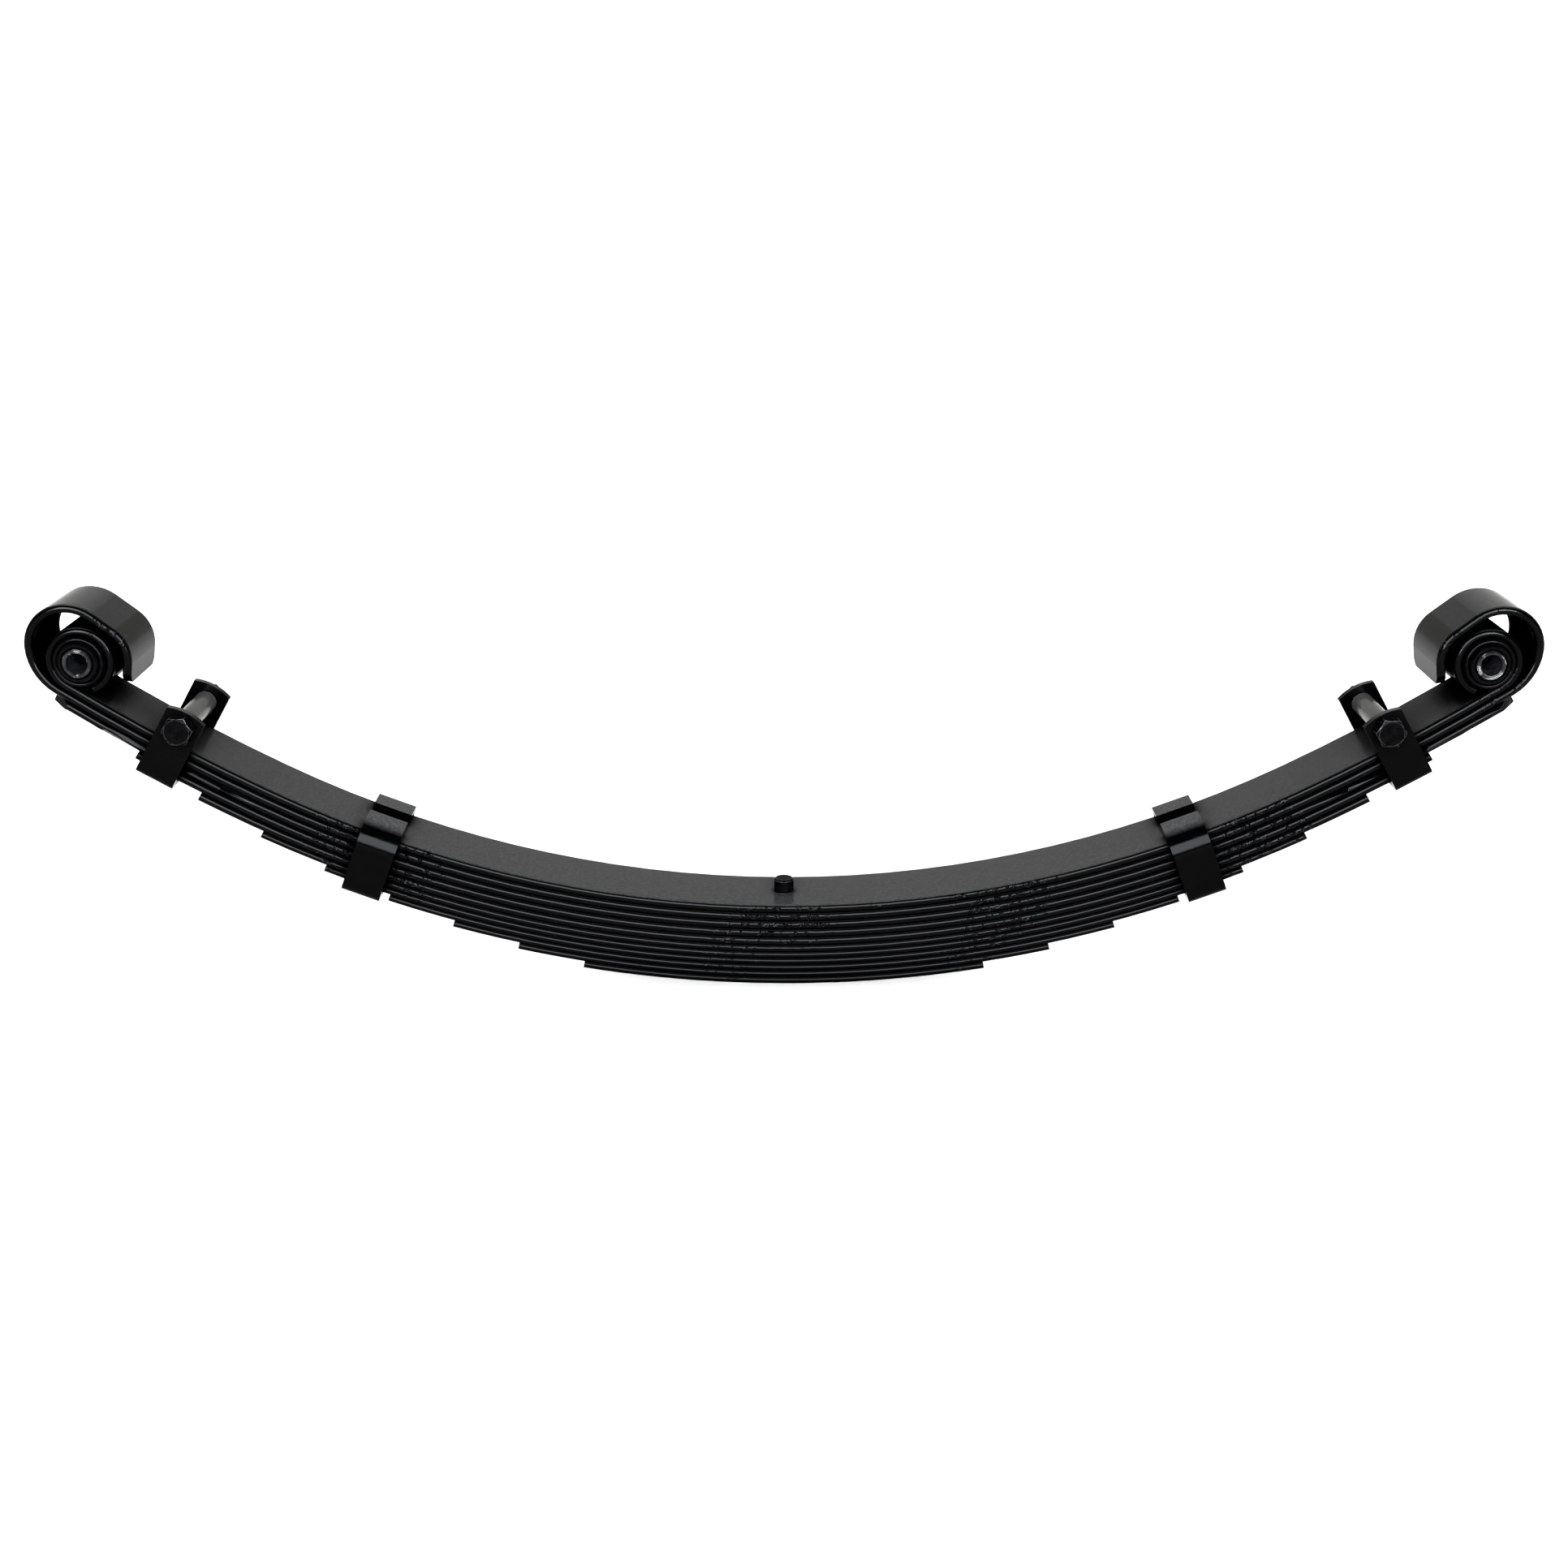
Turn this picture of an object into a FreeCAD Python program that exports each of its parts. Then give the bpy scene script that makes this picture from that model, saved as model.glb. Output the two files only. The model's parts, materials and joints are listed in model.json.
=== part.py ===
import FreeCAD, Part
import math
import os
import Sketcher

# Multi-leaf spring with up-turned eyes and wrapped second leaf.
# Frame: origin on the centre-bolt axis, at the top surface of the main leaf.
# +X runs along the spring, +Z up through the centre-bolt head, -Y is the front side.

os.makedirs("parts", exist_ok=True)
doc = FreeCAD.newDocument("leaf_spring")
V = FreeCAD.Vector

# ---------------------------------------------------------------- driving dimensions
DIMENSIONS = [
    # name, value (mm, degrees or a plain count), what it is
    ("leaf_width", 63.5, "width of every leaf"),
    ("upper_thick", 6.35, "thickness of leaves 1 to 5"),
    ("lower_thick", 5.0, "thickness of leaves 6 to 11"),
    ("leaf_gap", 0.05, "paint gap between two leaves"),
    ("upper_round", 3.1, "edge rounding of leaves 1 to 5"),
    ("lower_round", 2.42, "edge rounding of leaves 6 to 11"),
    ("mid_radius", 820.0, "radius of the main leaf's top face over the middle"),
    ("mid_angle", 27.0, "half angle over which that radius runs"),
    ("tip_radius", 1400.0, "radius of the main leaf's top face beyond that angle"),
    ("eye_arc", 544.0, "distance along the main leaf from the centre bolt to the eye"),
    ("eye_bore", 18.3, "bore radius of the main leaf's eyes"),
    ("eye_turn", 306.0, "angle through which the eye is rolled"),
    ("short_half", 149.0, "half length of the shortest leaf"),
    ("half_step", 49.0, "growth of the half length from leaf to leaf"),
    ("third_half", 558.0, "half length of leaf 3"),
    ("corner_along", 14.0, "trimmed corner of leaf 3, along the leaf"),
    ("corner_across", 8.0, "trimmed corner of leaf 3, across the leaf"),
    ("wrap_start", 33.6, "slope of leaf 2 where its wrap begins"),
    ("wrap_first", 41.0, "outside radius of the wrap's first bend"),
    ("wrap_second", 31.0, "outside radius of the wrap's second bend"),
    ("wrap_slope", 38.0, "slope of the wrap's straight run over the eye"),
    ("wrap_run", 19.0, "length of that straight run"),
    ("wrap_third", 27.0, "outside radius of the wrap's last bend"),
    ("wrap_tuck", 8.0, "angle by which the wrap's end leans in under itself"),
    ("wrap_tail", 14.5, "length of the wrap's straight end"),
    ("wrap_corner", 7.0, "trimmed corner of the wrap's end"),
    ("centre_hole", 5.0, "radius of the centre-bolt hole in the leaves"),
    ("centre_shank", 4.8, "radius of the centre bolt's shank"),
    ("pin_radius", 7.3, "radius of the centre bolt's round head"),
    ("pin_height", 10.5, "height of the centre bolt's round head"),
    ("pin_chamfer", 1.2, "chamfer on the round head"),
    ("centre_nut_af", 14.3, "centre nut across flats"),
    ("centre_nut_tall", 5.6, "centre nut height"),
    ("centre_stub", 0.6, "centre bolt's end beyond its nut"),
    ("bush_play", 0.05, "gap between a rubber bushing and the eye bore"),
    ("bush_ring", 17.9, "outside radius of the bushing's bead"),
    ("bush_bead", 2.6, "how far the bead stands out of the eye"),
    ("bush_groove", 15.0, "outside radius of the groove inside the bead"),
    ("bush_hub", 14.2, "radius of the bushing's raised hub"),
    ("bush_nose", 4.6, "how far the hub stands out of the eye"),
    ("bush_step", 1.7, "width of the step round the sleeve"),
    ("sleeve_outer", 10.2, "outside radius of the steel sleeve"),
    ("sleeve_bore", 7.6, "bore radius of the steel sleeve"),
    ("sleeve_length", 76.2, "length of the steel sleeve"),
    ("sleeve_play", 0.06, "running clearance of the sleeve in its bushings"),
    ("clip_arc", 459.7, "distance along the main leaf to a bolted clip"),
    ("clip_width", 28.6, "width of a bolted clip's strap"),
    ("clip_thick", 5.5, "thickness of a bolted clip's strap"),
    ("clip_inside", 67.5, "inside width of a bolted clip"),
    ("clip_bend", 0.8, "inside bend radius of a bolted clip"),
    ("clip_ear", 27.5, "height of a clip's ears above the main leaf"),
    ("clip_crown", 38.0, "radius of the arched top of a clip's ears"),
    ("clip_bolt_up", 14.0, "clip bolt's axis above the main leaf"),
    ("clip_shank", 6.0, "radius of the clip bolt's shank"),
    ("clip_hole", 6.4, "radius of the bolt holes in the ears"),
    ("clip_af", 19.0, "clip bolt and nut across flats"),
    ("clip_head", 7.5, "height of the clip bolt's head"),
    ("clip_nut_tall", 10.0, "height of the clip nut"),
    ("clip_stub", 4.5, "clip bolt's end beyond its nut"),
    ("tube_outer", 8.0, "outside radius of the spacer tube"),
    ("tube_play", 0.06, "running clearance of the spacer tube on its bolt"),
    ("tube_gap", 0.4, "end gap of the spacer tube at each ear"),
    ("band_arc", 299.0, "distance along the main leaf to a band clip"),
    ("band_width", 28.6, "width of a band clip's strap"),
    ("band_thick", 5.5, "thickness of a band clip's strap"),
    ("band_side", 4.0, "gap between the band and the leaf edges"),
    ("band_over", 4.4, "gap between the band's tabs and the main leaf"),
    ("band_foot", 2.5, "inside bend radius at the band's bottom"),
    ("band_crown", 16.0, "inside bend radius at the band's top"),
    ("band_front_tip", -14.0, "end of the front tab, from the middle plane (front is minus)"),
    ("band_back_tip", 3.0, "end of the back tab, from the middle plane"),
    ("strap_gap", 0.1, "gap between a strap's bottom and the leaf above it"),
    ("rivet_radius", 4.0, "radius of a clip rivet"),
    ("rivet_head", 6.5, "radius of a clip rivet's round head"),
    ("rivet_dome", 2.4, "height of a clip rivet's round head"),
]

sheet = doc.addObject("Spreadsheet::Sheet", "dimensions")
for row, (name, value, note) in enumerate(DIMENSIONS, start=1):
    sheet.set("A%d" % row, name)
    sheet.set("B%d" % row, str(value))
    sheet.setAlias("B%d" % row, name)
    sheet.set("C%d" % row, note)
doc.recompute()


def dim(name):
    """Value of one cell of the sheet."""
    return float(sheet.get(name))


LEAF_COUNT = 11
UPPER_COUNT = 5


def is_upper(number):
    return number <= UPPER_COUNT


def thickness(number):
    return dim("upper_thick") if is_upper(number) else dim("lower_thick")


def thickness_cell(number):
    return "dimensions.upper_thick" if is_upper(number) else "dimensions.lower_thick"


def drop(number):
    """Depth of the top face of a leaf below the top face of the main leaf."""
    total = 0.0
    for upper in range(1, number):
        total += thickness(upper) + dim("leaf_gap")
    return total


def drop_expression(number):
    """The same depth, as an expression on the sheet."""
    uppers = min(number - 1, UPPER_COUNT)
    lowers = number - 1 - uppers
    return (
        "%d * (dimensions.upper_thick + dimensions.leaf_gap)"
        " + %d * (dimensions.lower_thick + dimensions.leaf_gap)" % (uppers, lowers)
    )


def pack_depth(number):
    """Depth of the bottom face of a leaf."""
    return drop(number) + thickness(number)


def half_length(number):
    """Half length of a leaf along its bottom face."""
    if number == 3:
        return dim("third_half")
    return dim("short_half") + (LEAF_COUNT - number) * dim("half_step")


# ---------------------------------------------------------------- the spring's curve
def curve_point(distance):
    """Point and slope of the main leaf's top face, at a distance along it."""
    bend = math.radians(dim("mid_angle"))
    inner = dim("mid_radius")
    outer = dim("tip_radius")
    if distance <= inner * bend:
        slope = distance / inner
        return V(inner * math.sin(slope), 0, inner - inner * math.cos(slope)), slope
    slope = bend + (distance - inner * bend) / outer
    cx = (inner - outer) * math.sin(bend)
    cz = inner - (inner - outer) * math.cos(bend)
    return V(cx + outer * math.sin(slope), 0, cz - outer * math.cos(slope)), slope


def half_curve(number, end_slope=None):
    """Arcs of one half of a leaf: (top radius, turn in radians) from the middle outwards."""
    bend = math.radians(dim("mid_angle"))
    mid = dim("mid_radius") + drop(number)
    tip = dim("tip_radius") + drop(number)
    depth = thickness(number)
    if end_slope is not None:
        return [(mid, bend), (tip, end_slope - bend)]
    length = half_length(number)
    middle_run = (mid + depth) * bend
    if length <= middle_run:
        return [(mid, length / (mid + depth))]
    return [(mid, bend), (tip, (length - middle_run) / (tip + depth))]


def strip_outline(number, run):
    """Closed outline of a bent strip, symmetric about X = 0.

    run is the right half: (top radius, turn) for an arc, (None, length) for a straight.
    The curves go along the bottom face from left to right and back along the top face.
    """
    depth = thickness(number)
    point = V(0, -drop(number), 0)
    slope = 0.0
    top = []
    bottom = []
    for index, (radius, amount) in enumerate(run):
        if radius is None:
            along = V(math.cos(slope), math.sin(slope), 0)
            down = V(math.sin(slope), -math.cos(slope), 0)
            after = point + along * amount
            top.append(("line", point, after))
            bottom.append(("line", point + down * depth, after + down * depth))
            point = after
            continue
        centre = point + V(-math.sin(slope), math.cos(slope), 0) * radius
        turned = slope + amount
        first = -turned if index == 0 else slope
        quarter = math.pi / 2
        top.append(("arc", centre, radius, first - quarter, turned - quarter))
        bottom.append(("arc", centre, radius + depth, first - quarter, turned - quarter))
        slope = turned
        point = centre + V(math.sin(slope), -math.cos(slope), 0) * radius
    return top, bottom


def mirrored(item):
    if item[0] == "line":
        start, finish = item[1], item[2]
        return ("line", V(-finish.x, finish.y, 0), V(-start.x, start.y, 0))
    kind, centre, radius, low, high = item
    return ("arc", V(-centre.x, centre.y, 0), radius, math.pi - high, math.pi - low)


def curve_of(item):
    if item[0] == "line":
        return Part.LineSegment(item[1], item[2])
    kind, centre, radius, low, high = item
    return Part.ArcOfCircle(Part.Circle(centre, V(0, 0, 1), radius), low, high)


def ends_of(item):
    if item[0] == "line":
        return item[1], item[2]
    kind, centre, radius, low, high = item
    start = centre + V(math.cos(low), math.sin(low), 0) * radius
    finish = centre + V(math.cos(high), math.sin(high), 0) * radius
    return start, finish


# ---------------------------------------------------------------- document helpers
def new_body(label):
    body = doc.addObject("PartDesign::Body", label)
    body.Label = label
    return body


def plane_of(body, role):
    for feature in body.Origin.OriginFeatures:
        if feature.Role == role:
            return feature
    raise ValueError(role)


def new_sketch(body, name, role):
    sketch = body.newObject("Sketcher::SketchObject", name)
    sketch.AttachmentSupport = [(plane_of(body, role), "")]
    sketch.MapMode = "FlatFace"
    return sketch


def close_loop(sketch, indices, reversed_flags):
    """Join the curves of a loop end to end."""
    count = len(indices)
    for here in range(count):
        following = (here + 1) % count
        leave = 1 if reversed_flags[here] else 2
        enter = 2 if reversed_flags[following] else 1
        sketch.addConstraint(
            Sketcher.Constraint("Coincident", indices[here], leave, indices[following], enter)
        )


def nearest_end(sketch, one, other):
    """Which ends of two sketch curves meet."""
    best = None
    for a in (1, 2):
        for b in (1, 2):
            gap = (sketch.getPoint(one, a) - sketch.getPoint(other, b)).Length
            if best is None or gap < best[0]:
                best = (gap, a, b)
    return best[1], best[2]


def join_ends(sketch, indices):
    """Join the curves of a loop, whichever way each of them runs."""
    for here in range(len(indices)):
        following = (here + 1) % len(indices)
        ends = nearest_end(sketch, indices[here], indices[following])
        sketch.addConstraint(
            Sketcher.Constraint("Coincident", indices[here], ends[0], indices[following], ends[1])
        )


def bind_radius(sketch, geometry, name, radius, expression):
    constraint = sketch.addConstraint(Sketcher.Constraint("Radius", geometry, radius))
    sketch.renameConstraint(constraint, name)
    sketch.setExpression("Constraints." + name, expression)


def draw_outline(sketch, top, bottom):
    """Draw a strip's outline and return the indices of its middle top and bottom arcs."""
    lower = [mirrored(item) for item in reversed(bottom[1:])] + bottom
    upper = [mirrored(item) for item in reversed(top[1:])] + top
    right_cap = ("line", ends_of(bottom[-1])[1], ends_of(top[-1])[1])
    left_cap = ("line", ends_of(upper[0])[0], ends_of(lower[0])[0])
    indices = []
    flags = []
    for item in lower + [right_cap]:
        indices.append(sketch.addGeometry(curve_of(item), False))
        flags.append(False)
    for item in reversed(upper):
        indices.append(sketch.addGeometry(curve_of(item), False))
        flags.append(True)
    indices.append(sketch.addGeometry(curve_of(left_cap), False))
    flags.append(False)
    close_loop(sketch, indices, flags)
    middle = len(bottom) - 1
    middle_bottom = indices[middle]
    middle_top = indices[len(lower) + 1 + len(top) - 1]
    return middle_top, middle_bottom


def symmetric_pad(body, name, sketch, length, expression):
    pad = body.newObject("PartDesign::Pad", name)
    pad.Profile = sketch
    pad.Length = length
    if hasattr(pad, "SideType"):
        pad.SideType = "Symmetric"
    else:
        pad.Midplane = True
    pad.setExpression("Length", expression)
    sketch.Visibility = False
    return pad


def through_pocket(body, name, sketch):
    """Cut right through, both ways from the sketch's plane."""
    pocket = body.newObject("PartDesign::Pocket", name)
    pocket.Profile = sketch
    pocket.Type = "ThroughAll"
    if hasattr(pocket, "SideType"):
        pocket.SideType = "Symmetric"
    else:
        pocket.Midplane = True
    sketch.Visibility = False
    return pocket


def round_hole(body, name, role, centre, radius, expression):
    sketch = new_sketch(body, name + "_sketch", role)
    circle = sketch.addGeometry(Part.Circle(centre, V(0, 0, 1), radius), False)
    bind_radius(sketch, circle, "hole", radius, expression)
    return through_pocket(body, name, sketch)


def long_edges(shape, half_width):
    """Names of the curved edges that run along a leaf on its two side faces."""
    names = []
    for number, edge in enumerate(shape.Edges, start=1):
        box = edge.BoundBox
        on_side = abs(abs(box.YMin) - half_width) < 1e-4 and box.YLength < 1e-4
        straight_end = edge.Length < dim("upper_thick") * 1.02 and edge.Curve.TypeId == "Part::GeomLine"
        if on_side and not straight_end:
            names.append("Edge%d" % number)
    return names


def round_edges(body, base, radius, expression):
    doc.recompute()
    names = long_edges(base.Shape, dim("leaf_width") / 2)
    fillet = body.newObject("PartDesign::Fillet", body.Label + "_edges")
    fillet.Base = (base, names)
    fillet.Radius = radius
    fillet.setExpression("Radius", expression)
    base.Visibility = False
    return fillet


# ---------------------------------------------------------------- leaves
def rolled_eye(slope):
    """Right half of the main leaf: its curve, then the eye."""
    run = half_curve(1, end_slope=slope)
    run.append((dim("eye_bore"), math.radians(dim("eye_turn"))))
    return run


def wrapped_end():
    """Right half of leaf 2: its curve, then the wide wrap round the eye."""
    depth = thickness(2)
    start = math.radians(dim("wrap_start"))
    slope = math.radians(dim("wrap_slope"))
    quarter = math.pi / 2
    run = half_curve(2, end_slope=start)
    run.append((dim("wrap_first") - depth, quarter - start))
    run.append((dim("wrap_second") - depth, quarter + slope))
    run.append((None, dim("wrap_run")))
    run.append((dim("wrap_third") - depth, quarter - slope + math.radians(dim("wrap_tuck"))))
    run.append((None, dim("wrap_tail")))
    return run


def trim_corners(body, number):
    """Cut the four corners of a leaf's tips."""
    run = half_curve(number)
    length = half_length(number)
    point, slope = curve_point(length * run[0][0] / (run[0][0] + thickness(number)))
    tip = ends_of(strip_outline(number, run)[1][-1])[1].x
    across = dim("corner_across")
    along = dim("corner_along") * math.cos(slope)
    side = dim("leaf_width") / 2
    margin = 20.0
    sketch = new_sketch(body, body.Label + "_trim", "XY_Plane")
    for end in (-1, 1):
        for edge in (-1, 1):
            reach = tip + margin
            slant = across / along
            corners = [
                V(end * (tip - along), edge * side, 0),
                V(end * reach, edge * (side - slant * (along + margin)), 0),
                V(end * reach, edge * (side + margin), 0),
                V(end * (tip - along), edge * (side + margin), 0),
            ]
            lines = []
            for here in range(len(corners)):
                segment = Part.LineSegment(corners[here], corners[(here + 1) % len(corners)])
                lines.append(sketch.addGeometry(segment, False))
            close_loop(sketch, lines, [False] * len(lines))
    return through_pocket(body, body.Label + "_corners", sketch)


def build_leaf(number, label, run, rivet_at=None):
    body = new_body(label)
    sketch = new_sketch(body, label + "_profile", "XZ_Plane")
    top, bottom = strip_outline(number, run)
    middle_top, middle_bottom = draw_outline(sketch, top, bottom)
    radius = dim("mid_radius") + drop(number)
    expression = "dimensions.mid_radius + " + drop_expression(number)
    bind_radius(sketch, middle_top, "top_face", radius, expression)
    bind_radius(
        sketch,
        middle_bottom,
        "bottom_face",
        radius + thickness(number),
        expression + " + " + thickness_cell(number),
    )
    last = symmetric_pad(body, label + "_bar", sketch, dim("leaf_width"), "dimensions.leaf_width")
    if is_upper(number):
        last = round_edges(body, last, dim("upper_round"), "dimensions.upper_round")
    else:
        last = round_edges(body, last, dim("lower_round"), "dimensions.lower_round")
    round_hole(body, label + "_bolt_hole", "XY_Plane", V(0, 0, 0), dim("centre_hole"),
               "dimensions.centre_hole")
    if number == 3:
        trim_corners(body, number)
    doc.recompute()
    return body


def build_leaves():
    leaves = {}
    eye_slope = curve_point(dim("eye_arc"))[1]
    leaves[1] = build_leaf(1, "main_leaf", rolled_eye(eye_slope))
    leaves[2] = build_leaf(2, "wrapper_leaf", wrapped_end())
    for number in range(3, LEAF_COUNT + 1):
        leaves[number] = build_leaf(number, "leaf_%02d" % number, half_curve(number))
    return leaves


# ---------------------------------------------------------------- placing parts along the curve
def seat(distance, side):
    """Placement on the main leaf's top face: local Z is square to the leaf, local Y is Y."""
    point, slope = curve_point(distance)
    turn = FreeCAD.Rotation(V(0, 1, 0), -math.degrees(slope) * side)
    return FreeCAD.Placement(V(side * point.x, 0, point.z), turn)


def eye_centre(side):
    point, slope = curve_point(dim("eye_arc"))
    bore = dim("eye_bore")
    return V(side * (point.x - bore * math.sin(slope)), 0, point.z + bore * math.cos(slope))


SIDES = (("left", -1), ("right", 1))


# ---------------------------------------------------------------- primitives
def cylinder(name, radius, height, radius_cell, height_expression, base):
    """Cylinder along +Y from a point."""
    item = doc.addObject("Part::Cylinder", name)
    item.Radius = radius
    item.Height = height
    item.setExpression("Radius", radius_cell)
    item.setExpression("Height", height_expression)
    item.Placement = FreeCAD.Placement(base, FreeCAD.Rotation(V(1, 0, 0), -90))
    return item


def boolean(kind, name, base, tool):
    item = doc.addObject(kind, name)
    item.Base = base
    item.Tool = tool
    return item


def fuse(name, base, tool):
    item = boolean("Part::Fuse", name, base, tool)
    item.Refine = True
    return item


def cut(name, base, tool):
    return boolean("Part::Cut", name, base, tool)


def common(name, base, tool):
    return boolean("Part::Common", name, base, tool)


HEX_EDGE = 0.94  # radius of a hexagon's round face, as a share of half its width across flats


def hex_block(name, cell_flats, cell_height, direction, base, both=False):
    """Hexagon along +direction from base, its far corners (or both ends' corners) chamfered."""
    flats = dim(cell_flats)
    height = dim(cell_height)
    prism = doc.addObject("Part::Prism", name + "_hexagon")
    prism.Polygon = 6
    prism.Circumradius = flats / math.sqrt(3)
    prism.Height = height
    prism.setExpression("Circumradius", "dimensions.%s / sqrt(3)" % cell_flats)
    prism.setExpression("Height", "dimensions." + cell_height)
    rotation = FreeCAD.Rotation(V(0, 0, 1), direction)
    prism.Placement = FreeCAD.Placement(base, rotation)
    slope = math.tan(math.radians(60))
    result = prism
    ends = [(base, rotation, "far")]
    if both:
        flipped = rotation.multiply(FreeCAD.Rotation(V(1, 0, 0), 180))
        ends.append((base + direction * height, flipped, "near"))
    for start, turn, tag in ends:
        cone = doc.addObject("Part::Cone", name + "_" + tag + "_cone")
        cone.Radius1 = flats / 2 * HEX_EDGE + height * slope
        cone.Radius2 = flats / 2 * HEX_EDGE
        cone.Height = height
        cone.setExpression("Height", "dimensions." + cell_height)
        cone.setExpression("Radius2", "dimensions.%s / 2 * %s" % (cell_flats, HEX_EDGE))
        cone.setExpression(
            "Radius1",
            "dimensions.%s / 2 * %s + dimensions.%s * tan(60 deg)" % (cell_flats, HEX_EDGE, cell_height),
        )
        cone.Placement = FreeCAD.Placement(start, turn)
        result = common(name + "_" + tag, result, cone)
    return result


def turned(name, radius, length, base, direction, cell_radius, expression):
    """Cylinder from a point along a direction."""
    item = doc.addObject("Part::Cylinder", name)
    item.Radius = radius
    item.Height = length
    item.setExpression("Radius", cell_radius)
    item.setExpression("Height", expression)
    item.Placement = FreeCAD.Placement(base, FreeCAD.Rotation(V(0, 0, 1), direction))
    return item


# ---------------------------------------------------------------- centre bolt
def build_centre_bolt():
    """Round-headed bolt: the head locates the spring on its seat."""
    bottom = pack_depth(LEAF_COUNT)
    body = new_body("centre_bolt")
    sketch = new_sketch(body, "centre_bolt_half", "XZ_Plane")
    radius = dim("pin_radius")
    height = dim("pin_height")
    chamfer = dim("pin_chamfer")
    shank = dim("centre_shank")
    end = -bottom - dim("centre_nut_tall") - dim("centre_stub")
    point = 0.5
    seat_at = 0.03
    outline = [
        V(0, height, 0),
        V(radius - chamfer, height, 0),
        V(radius, height - chamfer, 0),
        V(radius, seat_at, 0),
        V(shank, seat_at, 0),
        V(shank, end + point, 0),
        V(shank - point, end, 0),
        V(0, end, 0),
    ]
    lines = []
    for here in range(len(outline)):
        segment = Part.LineSegment(outline[here], outline[(here + 1) % len(outline)])
        lines.append(sketch.addGeometry(segment, False))
    close_loop(sketch, lines, [False] * len(lines))
    head = sketch.addConstraint(Sketcher.Constraint("DistanceX", -1, 1, lines[3], 1, radius))
    sketch.renameConstraint(head, "head_radius")
    sketch.setExpression("Constraints.head_radius", "dimensions.pin_radius")
    tall = sketch.addConstraint(Sketcher.Constraint("DistanceY", -1, 1, lines[0], 1, height))
    sketch.renameConstraint(tall, "head_height")
    sketch.setExpression("Constraints.head_height", "dimensions.pin_height")
    spin = body.newObject("PartDesign::Revolution", "centre_bolt_turned")
    spin.Profile = sketch
    spin.ReferenceAxis = (sketch, ["V_Axis"])
    spin.Angle = 360.0
    sketch.Visibility = False
    return body


def build_centre_nut():
    top = V(0, 0, -pack_depth(LEAF_COUNT) - 0.05)
    block = hex_block("centre_nut_block", "centre_nut_af", "centre_nut_tall", V(0, 0, -1), top, both=True)
    bore = turned("centre_nut_bore", dim("centre_shank") + 0.03, dim("centre_nut_tall") + 2,
                  top + V(0, 0, 1), V(0, 0, -1), "dimensions.centre_shank + 0.03",
                  "dimensions.centre_nut_tall + 2")
    nut = cut("centre_nut", block, bore)
    nut.Label = "centre_nut"
    return nut


# ---------------------------------------------------------------- eye bushings and sleeves
def build_bushing(label, centre, facing):
    """Rubber half bushing pressed into the eye from one side; facing is -1 front, +1 back."""
    body = new_body(label)
    sketch = new_sketch(body, label + "_half", "YZ_Plane")
    inner = dim("sleeve_outer") + dim("sleeve_play")
    outer = dim("eye_bore") - dim("bush_play")
    face = dim("leaf_width") / 2 + 0.03
    start = 0.25
    bead = dim("bush_ring")
    bead_out = face + dim("bush_bead")
    groove = dim("bush_groove")
    hub = dim("bush_hub")
    nose = face + dim("bush_nose")
    bead_mid = (bead + groove) / 2
    lip = 1.0
    step = dim("bush_step")
    floor = face + 0.6
    points = [
        (start, inner),
        (start, outer),
        (face, outer),
        (face, bead),
        (face + lip, bead),
        (bead_out, bead_mid),
        (face + lip, groove),
        (floor, groove),
        (floor, hub),
        (nose - lip, hub),
        (nose, hub - lip),
        (nose, inner + step),
        (nose - lip, inner + step - lip),
        (nose - lip, inner),
    ]
    arc_after = 4
    lines = []
    position = 0
    while position < len(points):
        first = points[position]
        if position == arc_after:
            mid = points[position + 1]
            last = points[position + 2]
            curve = Part.Arc(V(first[0], first[1], 0), V(mid[0], mid[1], 0), V(last[0], last[1], 0))
            position += 2
        else:
            last = points[(position + 1) % len(points)]
            curve = Part.LineSegment(V(first[0], first[1], 0), V(last[0], last[1], 0))
            position += 1
        lines.append(sketch.addGeometry(curve, False))
    join_ends(sketch, lines)
    spin = body.newObject("PartDesign::Revolution", label + "_turned")
    spin.Profile = sketch
    spin.ReferenceAxis = (sketch, ["H_Axis"])
    spin.Angle = 360.0
    sketch.Visibility = False
    turn = FreeCAD.Rotation(V(0, 0, 1), 0 if facing > 0 else 180)
    body.Placement = FreeCAD.Placement(centre, turn)
    return body


def build_sleeve(label, centre):
    half = dim("sleeve_length") / 2
    base = centre - V(0, half, 0)
    outside = cylinder(label + "_outside", dim("sleeve_outer"), 2 * half,
                       "dimensions.sleeve_outer", "dimensions.sleeve_length", base)
    bore = cylinder(label + "_bore", dim("sleeve_bore"), 2 * half + 2,
                    "dimensions.sleeve_bore", "dimensions.sleeve_length + 2", base - V(0, 1, 0))
    pipe = cut(label + "_pipe", outside, bore)
    doc.recompute()
    rim = doc.addObject("Part::Chamfer", label)
    rim.Base = pipe
    chamfer = 0.8
    edges = []
    for number, edge in enumerate(pipe.Shape.Edges, start=1):
        if edge.BoundBox.YLength < 1e-6:
            edges.append((number, chamfer, chamfer))
    rim.Edges = edges
    rim.Label = label
    return rim


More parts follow.
